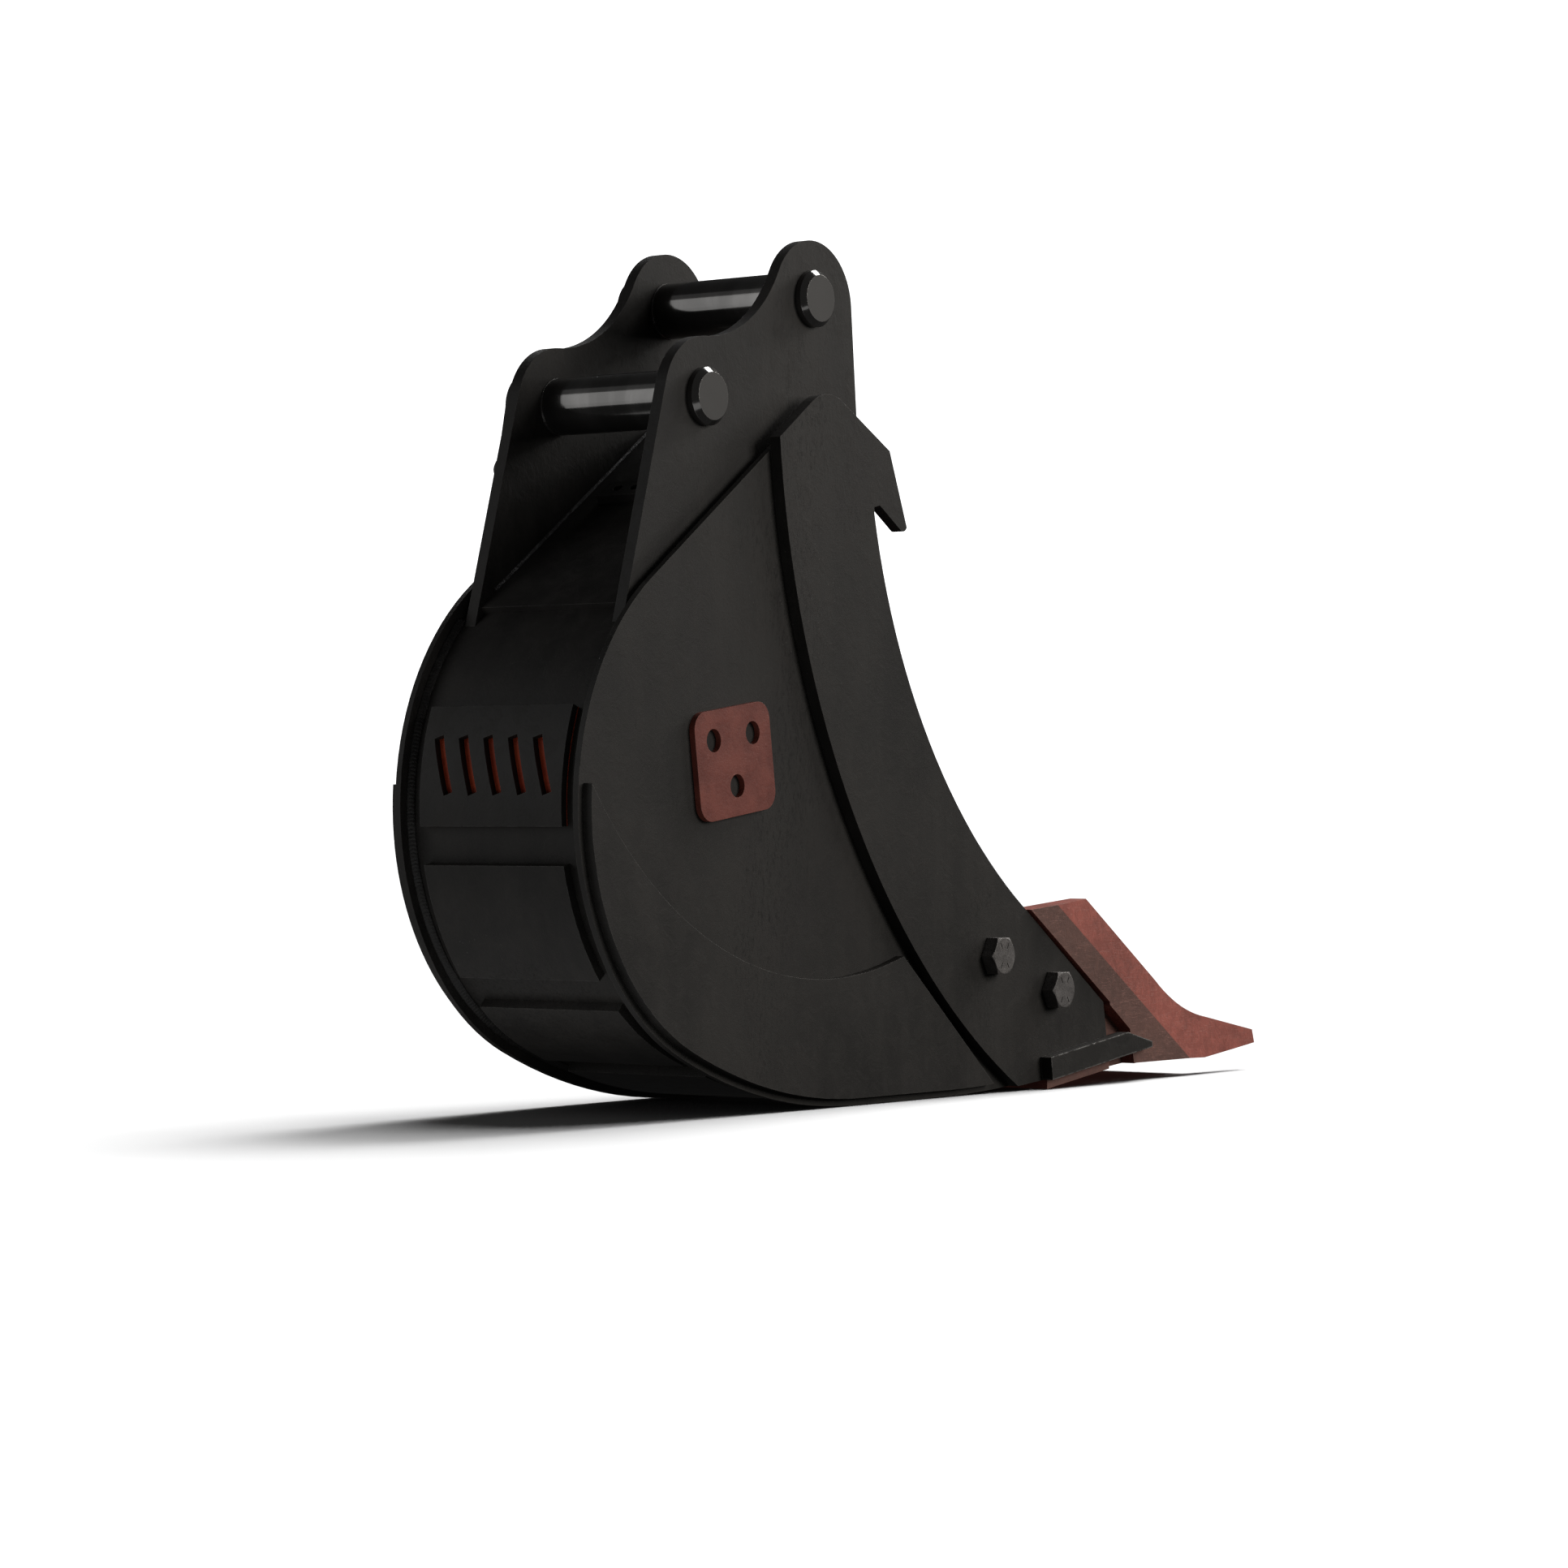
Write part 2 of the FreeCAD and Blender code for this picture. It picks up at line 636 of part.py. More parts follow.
def make_side_cutters():
    lip_corner = (low(bar_front_corner)[0] - cutter_gap, low(lip_mid_foot)[1])
    edges = [
        line(low(blade_top_back), low(blade_bevel_top)),
        line(low(blade_bevel_top), low(blade_edge_top)),
        line(low(blade_edge_top), low(blade_edge_foot)),
        arc_through(low(blade_edge_foot), low(nose_mid_top), 190.0, -1),
        line(low(nose_mid_top), low(nose_tip_top)),
        line(low(nose_tip_top), low(nose_tip_foot)),
        line(low(nose_tip_foot), low(nose_mid_foot)),
        line(low(nose_mid_foot), low(nose_heel)),
        line(low(nose_heel), low(blade_bevel_foot)),
        line(low(blade_bevel_foot), low(lip_bend)),
        line(low(lip_bend), lip_corner),
        line(lip_corner, (lip_corner[0], low(bar_cut_top)[1])),
        line((lip_corner[0], low(bar_cut_top)[1]), low(blade_top_back)),
    ]
    blade = slab(edges, cutter_inner, cutter_outer).common(bevel_stock())
    flange = plate([
        bolt_frame(-flange_back, flange_half),
        bolt_frame(bolt_pitch + 20.0, flange_half),
        low(blade_top_back),
        low(blade_bevel_top),
        low(cheek_corner),
        (low(bar_front_corner)[0] - cutter_gap, low(bar_front_corner)[1]),
        bolt_frame(bolt_pitch + 75.0, -flange_half),
        bolt_frame(-flange_back, -flange_half),
    ], cutter_inner, side_outer)
    body = join([blade, flange])
    behind = low(bolt_rear)[0] + 50.0
    recess = [
        low(blade_top_back),
        low(cheek_corner),
        (low(lip_bend)[0], ground - 1.0),
        (behind, ground - 1.0),
        (behind, low(blade_top_back)[1] + 50.0),
        along(low(blade_top_back), (1, 2), 12.0),
    ]
    body = body.cut(plate(recess, side_outer, cutter_outer + 1))
    body = body.cut(nodes["cutting_edge"])
    for centre in bolt_centres:
        body = body.cut(rod(centre, bolt_d / 2 + bolt_hole_clearance, cutter_inner - 1, side_outer + 1))
    both_sides("side_cutter", body)


def bolt_marks(centre):
    # shallow radial grooves in the end of a bolt head
    length, width, depth = mark_size
    top = bar_outer + bolt_head
    marks = []
    for pitch in mark_pitches:
        corner = FreeCAD.Vector(-depth, mark_r - length / 2, -width / 2)
        mark = Part.makeBox(depth + 1, length, width, corner)
        mark.rotate(FreeCAD.Vector(0, 0, 0), FreeCAD.Vector(1, 0, 0), pitch)
        mark.translate(vec(top, centre))
        marks.append(mark)
    return Part.makeCompound(marks)


def make_cutter_bolts():
    bolts = []
    washers = []
    nuts = []
    washer_from = cutter_inner - washer_t
    nut_from = washer_from - nut_h
    for centre in bolt_centres:
        shank = rod(centre, bolt_d / 2, nut_from - bolt_end, bar_outer)
        head = hexagon(centre, bolt_af, bar_outer, bar_outer + bolt_head, 1)
        bolts.append(shank.fuse(head).removeSplitter().cut(bolt_marks(centre)))
        hole = rod(centre, bolt_d / 2, nut_from - 1, cutter_inner + 1)
        washers.append(rod(centre, washer_r, washer_from, cutter_inner).cut(hole))
        nuts.append(hexagon(centre, bolt_af, nut_from, washer_from, -1).cut(hole))
    both_sides("cutter_bolts", Part.makeCompound(bolts))
    both_sides("cutter_washers", Part.makeCompound(washers))
    both_sides("cutter_nuts", Part.makeCompound(nuts))


# Wear plates and small pieces
def make_wear_plates():
    names = ("wear_plate_back", "wear_plate_heel", "wear_plate_belly", "wear_plate_floor")
    half = side_inner - wear_side_gap
    starts = [heel_start + start for start in wear_starts]
    ends = [start + length for start, length in zip(starts, wear_lengths)] + [rim_length - wear_stop]
    for name, start, end in zip(names, starts, ends):
        nodes[name] = strip(cut_line(rim, start, end), rim_inset - wear_t, wear_t, -half, half)


def make_side_wear_plates():
    spread = cut_line(rim, heel_start + crescent_start, rim_length - crescent_stop)
    edges = line_edges(spread, crescent_inset, 0.0)
    first = edges[0].Vertexes[0].Point
    last = edges[-1].Vertexes[-1].Point
    edges.append(line((last.y, last.z), low(crescent_front_top)))
    edges.append(arc_through(low(crescent_front_top), (first.y, first.z), crescent_hollow_r, 1))
    both_sides("side_wear_plate", slab(edges, side_outer, side_outer + crescent_t))


def make_runners():
    body = plate([low(point) for point in runner_outline], bar_outer, bar_outer + runner_t)
    both_sides("side_runner", body.cut(nodes["side_cutter_right"]).cut(nodes["cutting_edge"]))


def make_badges():
    width, height = badge_size
    half_w, half_h = width / 2, height / 2
    side = badge_hole_inset
    blank = Part.makeBox(badge_t, width, height, FreeCAD.Vector(side_outer, -half_w, -half_h))
    upright = [edge for edge in blank.Edges if abs(edge.Length - badge_t) < 0.01]
    blank = blank.makeFillet(badge_corner, upright)
    for at in ((side - half_w, half_h - side), (half_w - side, half_h - side), (0.0, side - half_h)):
        blank = blank.cut(rod(at, badge_hole_r, side_outer - 1, side_outer + badge_t + 1))
    blank.rotate(FreeCAD.Vector(0, 0, 0), FreeCAD.Vector(1, 0, 0), badge_tilt)
    blank.translate(vec(0, high(badge_centre)))
    both_sides("side_badge", blank)


def make_name_plate():
    start = heel_start + plate_span[0]
    end = heel_start + plate_span[1]
    half = side_inner - plate_side_gap
    steps = cut_line(rim, start, end)
    backing = rim_inset - plate_backing_t
    nodes["name_plate_backing"] = strip(steps, backing, plate_backing_t, -half, half)
    body = strip(steps, backing - plate_t, plate_t, -half, half)
    width, height = plate_slot
    middle = (start + end) / 2
    point, heading = point_on(rim, middle, backing)
    out = along((0, 0), right_of(aim(heading)), -1)
    for i in range(plate_slots):
        x = (i - (plate_slots - 1) / 2) * plate_slot_pitch
        corner = FreeCAD.Vector(-width / 2, -plate_t * 4, -height / 2)
        slot = Part.makeBox(width, plate_t * 8, height, corner)
        slot.rotate(FreeCAD.Vector(0, 0, 0), FreeCAD.Vector(1, 0, 0), heading + 90)
        slot.rotate(FreeCAD.Vector(0, 0, 0), vec(0, out), plate_slot_lean)
        slot.translate(vec(x, point))
        body = body.cut(slot)
    nodes["name_plate"] = body


def make_ear_pad():
    start = header_end + pad_span[0]
    end = header_end + pad_span[1]
    steps = cut_line(rim, start, end)
    outer = rim_inset - hinge_plate_t - pad_t
    body = strip(steps, outer, pad_t, -pad_half, pad_half)
    point, heading = point_on(rim, (start + end) / 2, outer - 1)
    inward = vec(0, right_of(aim(heading)))
    for x in pad_holes_x:
        body = body.cut(Part.makeCylinder(pad_hole_r, pad_t + 1, vec(x, point), inward))
    nodes["ear_pad"] = body


# Weld beads
def fillet_strip(steps, inset, x, leg, toward_x):
    # three-sided bead in the corner between a face at x and a face at an inset
    section = [(inset, x), (inset - leg, x), (inset, x + leg * toward_x)]
    return sweep(steps, section)


def make_welds():
    ear_from = header_end - header_len_on_slope
    ear_to = slope_start - step_length(rim[1]) / 2 + hinge_plate_end
    gap_fill = cut_line(rim, ear_from, ear_to - slot_weld_short)
    section = [
        (rim_inset, ear_outer),
        (rim_inset - weld_leg, ear_outer),
        (rim_inset - weld_leg + slot_weld_sink, (ear_outer + side_inner) / 2),
        (rim_inset - weld_leg, side_inner),
        (rim_inset, side_inner),
    ]
    both_sides("ear_slot_weld", sweep(gap_fill, section))
    top = rim_inset - hinge_plate_t
    steps = cut_line(rim, ear_from + ear_weld_late, ear_to - ear_weld_short)
    both_sides("ear_inner_weld", fillet_strip(steps, top, ear_inner, weld_leg, -1))
    steps = cut_line(rim, ear_to + shell_weld_end, rim_length - shell_weld_end)
    both_sides("shell_weld", fillet_strip(steps, rim_inset, side_inner, weld_leg, -1))


builders = (
    make_header, make_wrapper, make_hinge_plate, make_side_plates, make_side_bars, make_ears, make_pins,
    make_cutting_edge, make_side_cutters, make_cutter_bolts, make_wear_plates, make_side_wear_plates,
    make_runners, make_badges, make_name_plate, make_ear_pad, make_welds,
)
for build in builders:
    build()

os.makedirs("parts", exist_ok=True)
for name, shape in nodes.items():
    shape.exportStep("parts/" + name + ".step")
    print(name, shape.isValid(), len(shape.Solids), round(shape.Volume))
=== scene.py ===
import json
import math

import bmesh
import bpy
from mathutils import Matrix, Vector
from mathutils.noise import noise as noiseAt


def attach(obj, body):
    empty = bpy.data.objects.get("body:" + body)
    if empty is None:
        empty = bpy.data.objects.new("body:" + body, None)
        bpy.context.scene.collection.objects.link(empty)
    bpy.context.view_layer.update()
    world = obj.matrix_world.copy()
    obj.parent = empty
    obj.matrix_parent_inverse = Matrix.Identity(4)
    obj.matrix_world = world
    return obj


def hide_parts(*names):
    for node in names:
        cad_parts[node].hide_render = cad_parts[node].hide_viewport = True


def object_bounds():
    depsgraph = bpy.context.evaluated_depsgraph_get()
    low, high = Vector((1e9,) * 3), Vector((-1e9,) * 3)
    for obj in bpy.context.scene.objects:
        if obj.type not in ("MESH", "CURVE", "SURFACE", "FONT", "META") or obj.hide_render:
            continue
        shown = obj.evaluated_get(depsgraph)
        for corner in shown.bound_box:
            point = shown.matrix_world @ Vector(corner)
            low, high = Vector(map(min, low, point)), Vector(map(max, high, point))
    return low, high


# A narrow excavator bucket in satin black paint with red side cutters.
# Metres. Origin at the dipper pin, +X along the pins, +Y to the back, +Z up.

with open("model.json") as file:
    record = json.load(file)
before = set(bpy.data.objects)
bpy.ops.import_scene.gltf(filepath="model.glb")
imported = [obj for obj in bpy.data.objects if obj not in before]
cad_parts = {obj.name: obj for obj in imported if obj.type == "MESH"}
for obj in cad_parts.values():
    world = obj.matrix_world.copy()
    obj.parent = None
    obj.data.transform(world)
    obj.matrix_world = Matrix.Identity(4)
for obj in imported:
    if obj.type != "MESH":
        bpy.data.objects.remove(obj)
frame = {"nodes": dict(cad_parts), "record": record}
cadBox = [list(corner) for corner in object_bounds()]
nodes = frame["nodes"]
print("frame loaded:", len(nodes), "nodes")

mm = 0.001


class Field:
    # one shader socket; arithmetic on it adds Math nodes to the tree being wired
    tree = None

    def __init__(self, socket):
        self.socket = socket

    @classmethod
    def node(cls, kind, settings=None, inputs=None, output=0):
        # settings belong to the node and are set first; inputs are its sockets
        made = cls.tree.nodes.new(kind)
        for name, value in (settings or {}).items():
            setattr(made, name, value)
        for name, value in (inputs or {}).items():
            if isinstance(value, Field):
                cls.tree.links.new(value.socket, made.inputs[name])
            else:
                made.inputs[name].default_value = value
        return cls(made.outputs[output])

    def math(self, operation, other=0.0, flip=False, clamp=False):
        first, second = (other, self) if flip else (self, other)
        settings = {"operation": operation, "use_clamp": clamp}
        return Field.node("ShaderNodeMath", settings, {0: first, 1: second})

    def __add__(self, other):
        return self.math("ADD", other)

    def __sub__(self, other):
        return self.math("SUBTRACT", other)

    def __mul__(self, other):
        return self.math("MULTIPLY", other)

    def __radd__(self, other):
        return self.math("ADD", other, flip=True)

    def __rsub__(self, other):
        return self.math("SUBTRACT", other, flip=True)

    def __rmul__(self, other):
        return self.math("MULTIPLY", other, flip=True)

    def clamped(self):
        return self.math("ADD", 0.0, clamp=True)

    def over(self, level):  # 1 where the field is above the level
        return self.math("GREATER_THAN", level)

    def fade(self, low, high):  # 0 at low, 1 at high, smooth between
        settings = {"interpolation_type": "SMOOTHSTEP"}
        inputs = {"Value": self, "From Min": low, "From Max": high}
        return Field.node("ShaderNodeMapRange", settings, inputs)


def mixColour(factor, first, second):
    # the node's sockets go by number: 0 is the factor, 6 and 7 the colours, 2 the result
    settings = {"data_type": "RGBA"}
    return Field.node("ShaderNodeMix", settings, {0: factor, 6: first, 7: second}, 2)


def colour(red, green, blue):
    return (red, green, blue, 1.0)


def place(stretch=(1, 1, 1), turn=(0, 0, 0)):
    # the piece's own coordinates, in metres, stretched and turned
    here = Field.node("ShaderNodeTexCoord", output="Object")
    settings = {"vector_type": "POINT"}
    inputs = {"Vector": here, "Scale": stretch, "Rotation": turn}
    return Field.node("ShaderNodeMapping", settings, inputs)


def noise(scale, detail=4.0, rough=0.55, stretch=(1, 1, 1), twist=0.0, turn=(0, 0, 0)):
    inputs = {
        "Vector": place(stretch, turn), "Scale": scale,
        "Detail": detail, "Roughness": rough, "Distortion": twist,
    }
    return Field.node("ShaderNodeTexNoise", None, inputs)


def speck(scale, size):
    # small dots scattered over the surface
    dots = Field.node("ShaderNodeTexVoronoi", None, {"Vector": place(), "Scale": scale})
    return 1 - dots.fade(size * 0.6, size)


scratchPlan = {"stretch": (1, 1, 18), "wobble": 0.3, "patch": 0.35, "patchEdge": 0.06}


def scratches(scale, turn, width, keep):
    # thin long marks: the ridge of a stretched noise, kept only in patches
    plan = scratchPlan
    ridge = noise(scale, 2.0, 0.5, plan["stretch"], plan["wobble"], turn) - 0.5
    line = 1 - ridge.math("ABSOLUTE").fade(0.0, width)
    patch = noise(scale * plan["patch"], 3.0, 0.6, turn=turn)
    return line * patch.fade(keep, keep + plan["patchEdge"])


maskSamples = 6


def edgeMask(radius, low, high):
    # 1 on a worn outside edge, 0 on the flat
    rounded = Field.node("ShaderNodeBevel", {"samples": maskSamples}, {"Radius": radius})
    flat = Field.node("ShaderNodeNewGeometry", output="Normal")
    settings = {"operation": "DOT_PRODUCT"}
    turned = Field.node("ShaderNodeVectorMath", settings, {0: rounded, 1: flat}, "Value")
    return (1 - turned).fade(low, high)


def hollowMask(distance):
    # 1 in corners and gaps, where shade falls; the bolts paint shade there with it
    settings = {"samples": maskSamples}
    return 1 - Field.node("ShaderNodeAmbientOcclusion", settings, {"Distance": distance}, "AO")


def finishOf(name, build):
    # a named material; build() gives the shader's inputs, the bump's height and strength,
    # and the radius in metres that softens its edges
    made = bpy.data.materials.new(name)
    made.use_nodes = True
    made.node_tree.nodes.clear()
    Field.tree = made.node_tree
    inputs, height, strength, radius = build()
    soft = Field.node("ShaderNodeBevel", {"samples": maskSamples}, {"Radius": radius})
    bump = {"Height": height, "Strength": strength, "Distance": mm, "Normal": soft}
    inputs["Normal"] = Field.node("ShaderNodeBump", None, bump)
    shader = Field.node("ShaderNodeBsdfPrincipled", None, inputs)
    end = made.node_tree.nodes.new("ShaderNodeOutputMaterial")
    made.node_tree.links.new(shader.socket, end.inputs["Surface"])
    return made


squareFrom = 0.9985  # leaves out the cutter's bevel, which is a few degrees off


def facingSide():
    # 1 on faces square to the pins
    spread = Field.node("ShaderNodeNewGeometry", output="True Normal")
    across = Field.node("ShaderNodeSeparateXYZ", None, {"Vector": spread}, "X")
    return across.math("ABSOLUTE").over(squareFrom)


blackCoat = {
    "deep": colour(0.0098, 0.0090, 0.0082),
    "pale": colour(0.0375, 0.0345, 0.0316),
    "grime": colour(0.0075, 0.0070, 0.0066),
    "worn": colour(0.32, 0.31, 0.30),
    "dust": colour(0.070, 0.065, 0.060),
    "patch": 5.0,
    "grain": 420.0,
    "dusty": 0.6,
    "flecked": 0.75,
    "rough": 0.54,
    "ior": 1.35,
    "bump": 0.22,
    "softEdge": 0.0004,
}


def blackPaint(edgeWear, edge=0.0013):
    # edgeWear is how bare the edges are, edge how far the wear reaches in, in metres
    def build():
        coat = blackCoat
        cloud = noise(coat["patch"], 6.0, 0.66, (1, 1, 0.7), 0.4).fade(0.36, 0.64)
        streak = noise(15.0, 5.0, 0.66, (1, 1, 0.16), 0.2).fade(0.38, 0.66)
        mottle = noise(60.0, 5.0, 0.7, (1, 1, 1), 0.6).fade(0.42, 0.68)
        fine = noise(coat["grain"], 3.0, 0.6)
        tone = (cloud * 0.45 + streak * 0.32 + mottle * 0.23).clamped()
        base = mixColour(tone, coat["deep"], coat["pale"])
        # blotches of small dark flecks, drawn out downwards
        blotch = noise(6.5, 4.0, 0.6, (1, 1, 0.6), 0.6).fade(0.50, 0.66)
        flecks = noise(330.0, 6.0, 0.85, (1, 1, 0.4)).fade(0.47, 0.66) * blotch
        base = mixColour(flecks * coat["flecked"], base, coat["grime"])
        dust = speck(160.0, 0.14) * noise(7.0, 3.0, 0.6).fade(0.58, 0.70)
        base = mixColour(dust * coat["dusty"], base, coat["dust"])
        marks = scratches(22.0, (0.5, 0.2, 0.9), 0.010, 0.62) * 0.4
        base = mixColour(marks.clamped(), base, coat["dust"])
        rubbed = noise(90.0, 5.0, 0.75).fade(0.38, 0.62)
        wear = edgeMask(edge, 0.02, 0.22) * rubbed * edgeWear
        base = mixColour(wear.clamped(), base, coat["worn"])
        rough = coat["rough"] + tone * 0.10 + mottle * 0.05 + flecks * 0.10 - wear * 0.18
        height = fine * 0.35 + mottle * 0.4 + cloud * 0.5 - marks * 0.4 - flecks * 0.15
        inputs = {"Base Color": base, "Roughness": rough.clamped(), "IOR": coat["ior"]}
        inputs["Metallic"] = wear * 0.3
        return inputs, height, coat["bump"], coat["softEdge"]
    return build


redCoat = {
    "deep": colour(0.26, 0.074, 0.056),
    "pale": colour(0.50, 0.140, 0.106),
    "chalk": colour(0.58, 0.28, 0.23),
    "bare": colour(0.16, 0.085, 0.065),
    # cheek colours: partly bare, scuffed paint and partly a painted grey sheen of grazing light
    "cheek": colour(0.195, 0.108, 0.088),
    "cheekDark": colour(0.125, 0.073, 0.061),
    "ground": 0.92,
    "scratched": 0.34,
    "rubbed": 0.25,
    "worn": 0.5,
    "rough": 0.54,
    "ior": 1.35,
    "bump": 0.25,
    "softEdge": 0.0005,
}


def redPaint():
    coat = redCoat
    cloud = noise(16.0, 6.0, 0.65, (1, 1, 1), 0.5).fade(0.30, 0.70)
    mottle = noise(110.0, 6.0, 0.72, (1, 1, 1), 0.8).fade(0.40, 0.66)
    fine = noise(700.0, 2.0, 0.6)
    tone = (cloud * 0.55 + mottle * 0.45).clamped()
    painted = mixColour(tone, coat["deep"], coat["pale"])
    # faces square to the pins go grey-brown: partly bare, scuffed paint, partly painted sheen
    scuffedWithSheen = mixColour(tone, coat["cheekDark"], coat["cheek"])
    base = mixColour(facingSide() * coat["ground"], painted, scuffedWithSheen)
    marks = scratches(30.0, (0.6, 0.0, 0.3), 0.014, 0.47)
    marks = marks + scratches(24.0, (-0.7, 0.3, 1.2), 0.012, 0.49)
    base = mixColour((marks * coat["scratched"]).clamped(), base, coat["chalk"])
    rubbed = noise(40.0, 6.0, 0.7).fade(0.58, 0.74)
    base = mixColour(rubbed * coat["rubbed"], base, coat["bare"])
    wear = edgeMask(0.0016, 0.02, 0.25) * noise(120.0, 5.0, 0.75).fade(0.36, 0.60)
    base = mixColour((wear * coat["worn"]).clamped(), base, coat["chalk"])
    rough = coat["rough"] + tone * 0.12 - marks * 0.05
    height = fine * 0.3 + mottle * 0.6 - marks * 0.5 - rubbed * 0.4
    inputs = {"Base Color": base, "Roughness": rough.clamped(), "IOR": coat["ior"]}
    return inputs, height, coat["bump"], coat["softEdge"]


badgeCoat = {
    "deep": colour(0.17, 0.040, 0.028),
    "pale": colour(0.25, 0.066, 0.047),
    "chalk": redCoat["chalk"],
    "scratched": 0.3,
    "worn": 0.4,
    "rough": 0.46,
    "ior": 1.4,
    "bump": 0.2,
    "softEdge": 0.0003,
}


def badgePaint():
    coat = badgeCoat
    cloud = noise(45.0, 5.0, 0.65).fade(0.3, 0.7)
    fine = noise(600.0, 3.0, 0.6)
    base = mixColour(cloud, coat["deep"], coat["pale"])
    marks = scratches(60.0, (0.3, 0.0, 0.7), 0.014, 0.55)
    base = mixColour((marks * coat["scratched"]).clamped(), base, coat["chalk"])
    wear = edgeMask(0.0008, 0.03, 0.3) * noise(160.0, 4.0, 0.7).fade(0.42, 0.62)
    base = mixColour((wear * coat["worn"]).clamped(), base, coat["chalk"])
    rough = coat["rough"] + cloud * 0.12
    inputs = {"Base Color": base, "Roughness": rough.clamped(), "IOR": coat["ior"]}
    return inputs, fine + cloud, coat["bump"], coat["softEdge"]


backingCoat = {
    "deep": colour(0.42, 0.050, 0.018),
    "pale": colour(0.60, 0.085, 0.030),
    "rough": 0.5,
    "ior": 1.4,
    "bump": 0.2,
    "softEdge": 0.0003,
}


def backingPaint():
    # the strip seen through the slots, deeper and cleaner than the badge
    coat = backingCoat
    cloud = noise(60.0, 4.0, 0.6).fade(0.3, 0.7)
    fine = noise(500.0, 3.0, 0.6)
    base = mixColour(cloud, coat["deep"], coat["pale"])
    rough = coat["rough"] + cloud * 0.1
    inputs = {"Base Color": base, "Roughness": rough.clamped(), "IOR": coat["ior"]}
    return inputs, fine + cloud, coat["bump"], coat["softEdge"]


pinCoat = {
    "deep": colour(0.115, 0.113, 0.110),
    "pale": colour(0.19, 0.186, 0.182),
    "end": colour(0.045, 0.044, 0.043),
    "bright": colour(0.42, 0.41, 0.40),
    "metal": 0.85,
    "rough": 0.09,
    "endRough": 0.36,
    "bump": 0.03,
    "softEdge": 0.0004,
}


def pinSteel():
    coat = pinCoat
    turned = noise(260.0, 3.0, 0.6, (1, 0.04, 0.04))
    smear = noise(18.0, 5.0, 0.6, (1, 0.4, 0.4), 0.5).fade(0.35, 0.7)
    base = mixColour(smear, coat["deep"], coat["pale"])
    base = mixColour(facingSide() * 0.85, base, coat["end"])
    wear = edgeMask(0.0015, 0.03, 0.3)
    base = mixColour((wear * 0.6).clamped(), base, coat["bright"])
    rough = coat["rough"] + smear * 0.05 + turned * 0.04 + facingSide() * coat["endRough"]
    inputs = {"Base Color": base, "Roughness": rough.clamped(), "Metallic": coat["metal"]}
    return inputs, turned, coat["bump"], coat["softEdge"]


boltCoat = {
    "deep": colour(0.095, 0.088, 0.085),
    "pale": colour(0.160, 0.150, 0.145),
    "dots": colour(0.26, 0.25, 0.24),
    "bright": colour(0.36, 0.35, 0.34),
    # the next colour is painted shade for the bolts' grooves and corners
    "hollow": colour(0.02, 0.019, 0.018),
    "hollowDepth": 0.0016,
    "metal": 0.3,
    "rough": 0.46,
    "bump": 0.25,
    "softEdge": 0.0007,
}


def boltSteel():
    coat = boltCoat
    grain = noise(900.0, 4.0, 0.75)
    blot = noise(90.0, 5.0, 0.7).fade(0.35, 0.7)
    base = mixColour(blot, coat["deep"], coat["pale"])
    base = mixColour(speck(900.0, 0.22) * 0.4, base, coat["dots"])
    wear = edgeMask(0.0012, 0.03, 0.3) * noise(200.0, 4.0, 0.7).fade(0.35, 0.6)
    base = mixColour((wear * 0.6).clamped(), base, coat["bright"])
    # painted shade: the bolts' grooves and corners are darkened where shade falls
    shade = hollowMask(coat["hollowDepth"]) * 2.4
    base = mixColour(shade.clamped(), base, coat["hollow"])
    rough = coat["rough"] + blot * 0.16
    inputs = {"Base Color": base, "Roughness": rough.clamped(), "Metallic": coat["metal"]}
    return inputs, grain + blot, coat["bump"], coat["softEdge"]


beadCoat = {
    "deep": colour(0.011, 0.0104, 0.0098),
    "pale": colour(0.026, 0.0245, 0.023),
    "rough": 0.42,
    "ior": 1.45,
    "bump": 0.3,
    "softEdge": 0.0004,
}


def beadPaint():
    coat = beadCoat
    mottle = noise(140.0, 5.0, 0.7).fade(0.35, 0.7)
    fine = noise(700.0, 3.0, 0.6)
    base = mixColour(mottle, coat["deep"], coat["pale"])
    rough = coat["rough"] + mottle * 0.2
    inputs = {"Base Color": base, "Roughness": rough.clamped(), "IOR": coat["ior"]}
    return inputs, fine + mottle, coat["bump"], coat["softEdge"]


finishes = {
    "black_paint": finishOf("satinBlackPaint", blackPaint(edgeWear=0.15)),
    "wear_paint": finishOf("wearStripPaint", blackPaint(edgeWear=0.24)),
    "runner": finishOf("rubbedRunnerPaint", blackPaint(edgeWear=1.3, edge=0.0024)),
    "red_paint": finishOf("scratchedRedPaint", redPaint),
    "badge_paint": finishOf("redEnamel", badgePaint),
    "backing": finishOf("backingEnamel", backingPaint),
    "pin_steel": finishOf("oiledPinSteel", pinSteel),
    "bolt_steel": finishOf("dullBoltSteel", boltSteel),
    "weld_bead": finishOf("paintedWeld", beadPaint),
}
print("finishes made:", len(finishes))

ownFinish = {
    "name_plate_backing": "backing",
    "side_runner_left": "runner",
    "side_runner_right": "runner",
}
slotOf = {part["node"]: part["material_slot"] for part in frame["record"]["subparts"]}
for name, node in nodes.items():
    for holder in node.material_slots:
        holder.material = finishes[ownFinish.get(name, slotOf[name])]
print("finishes put on the frame's nodes")


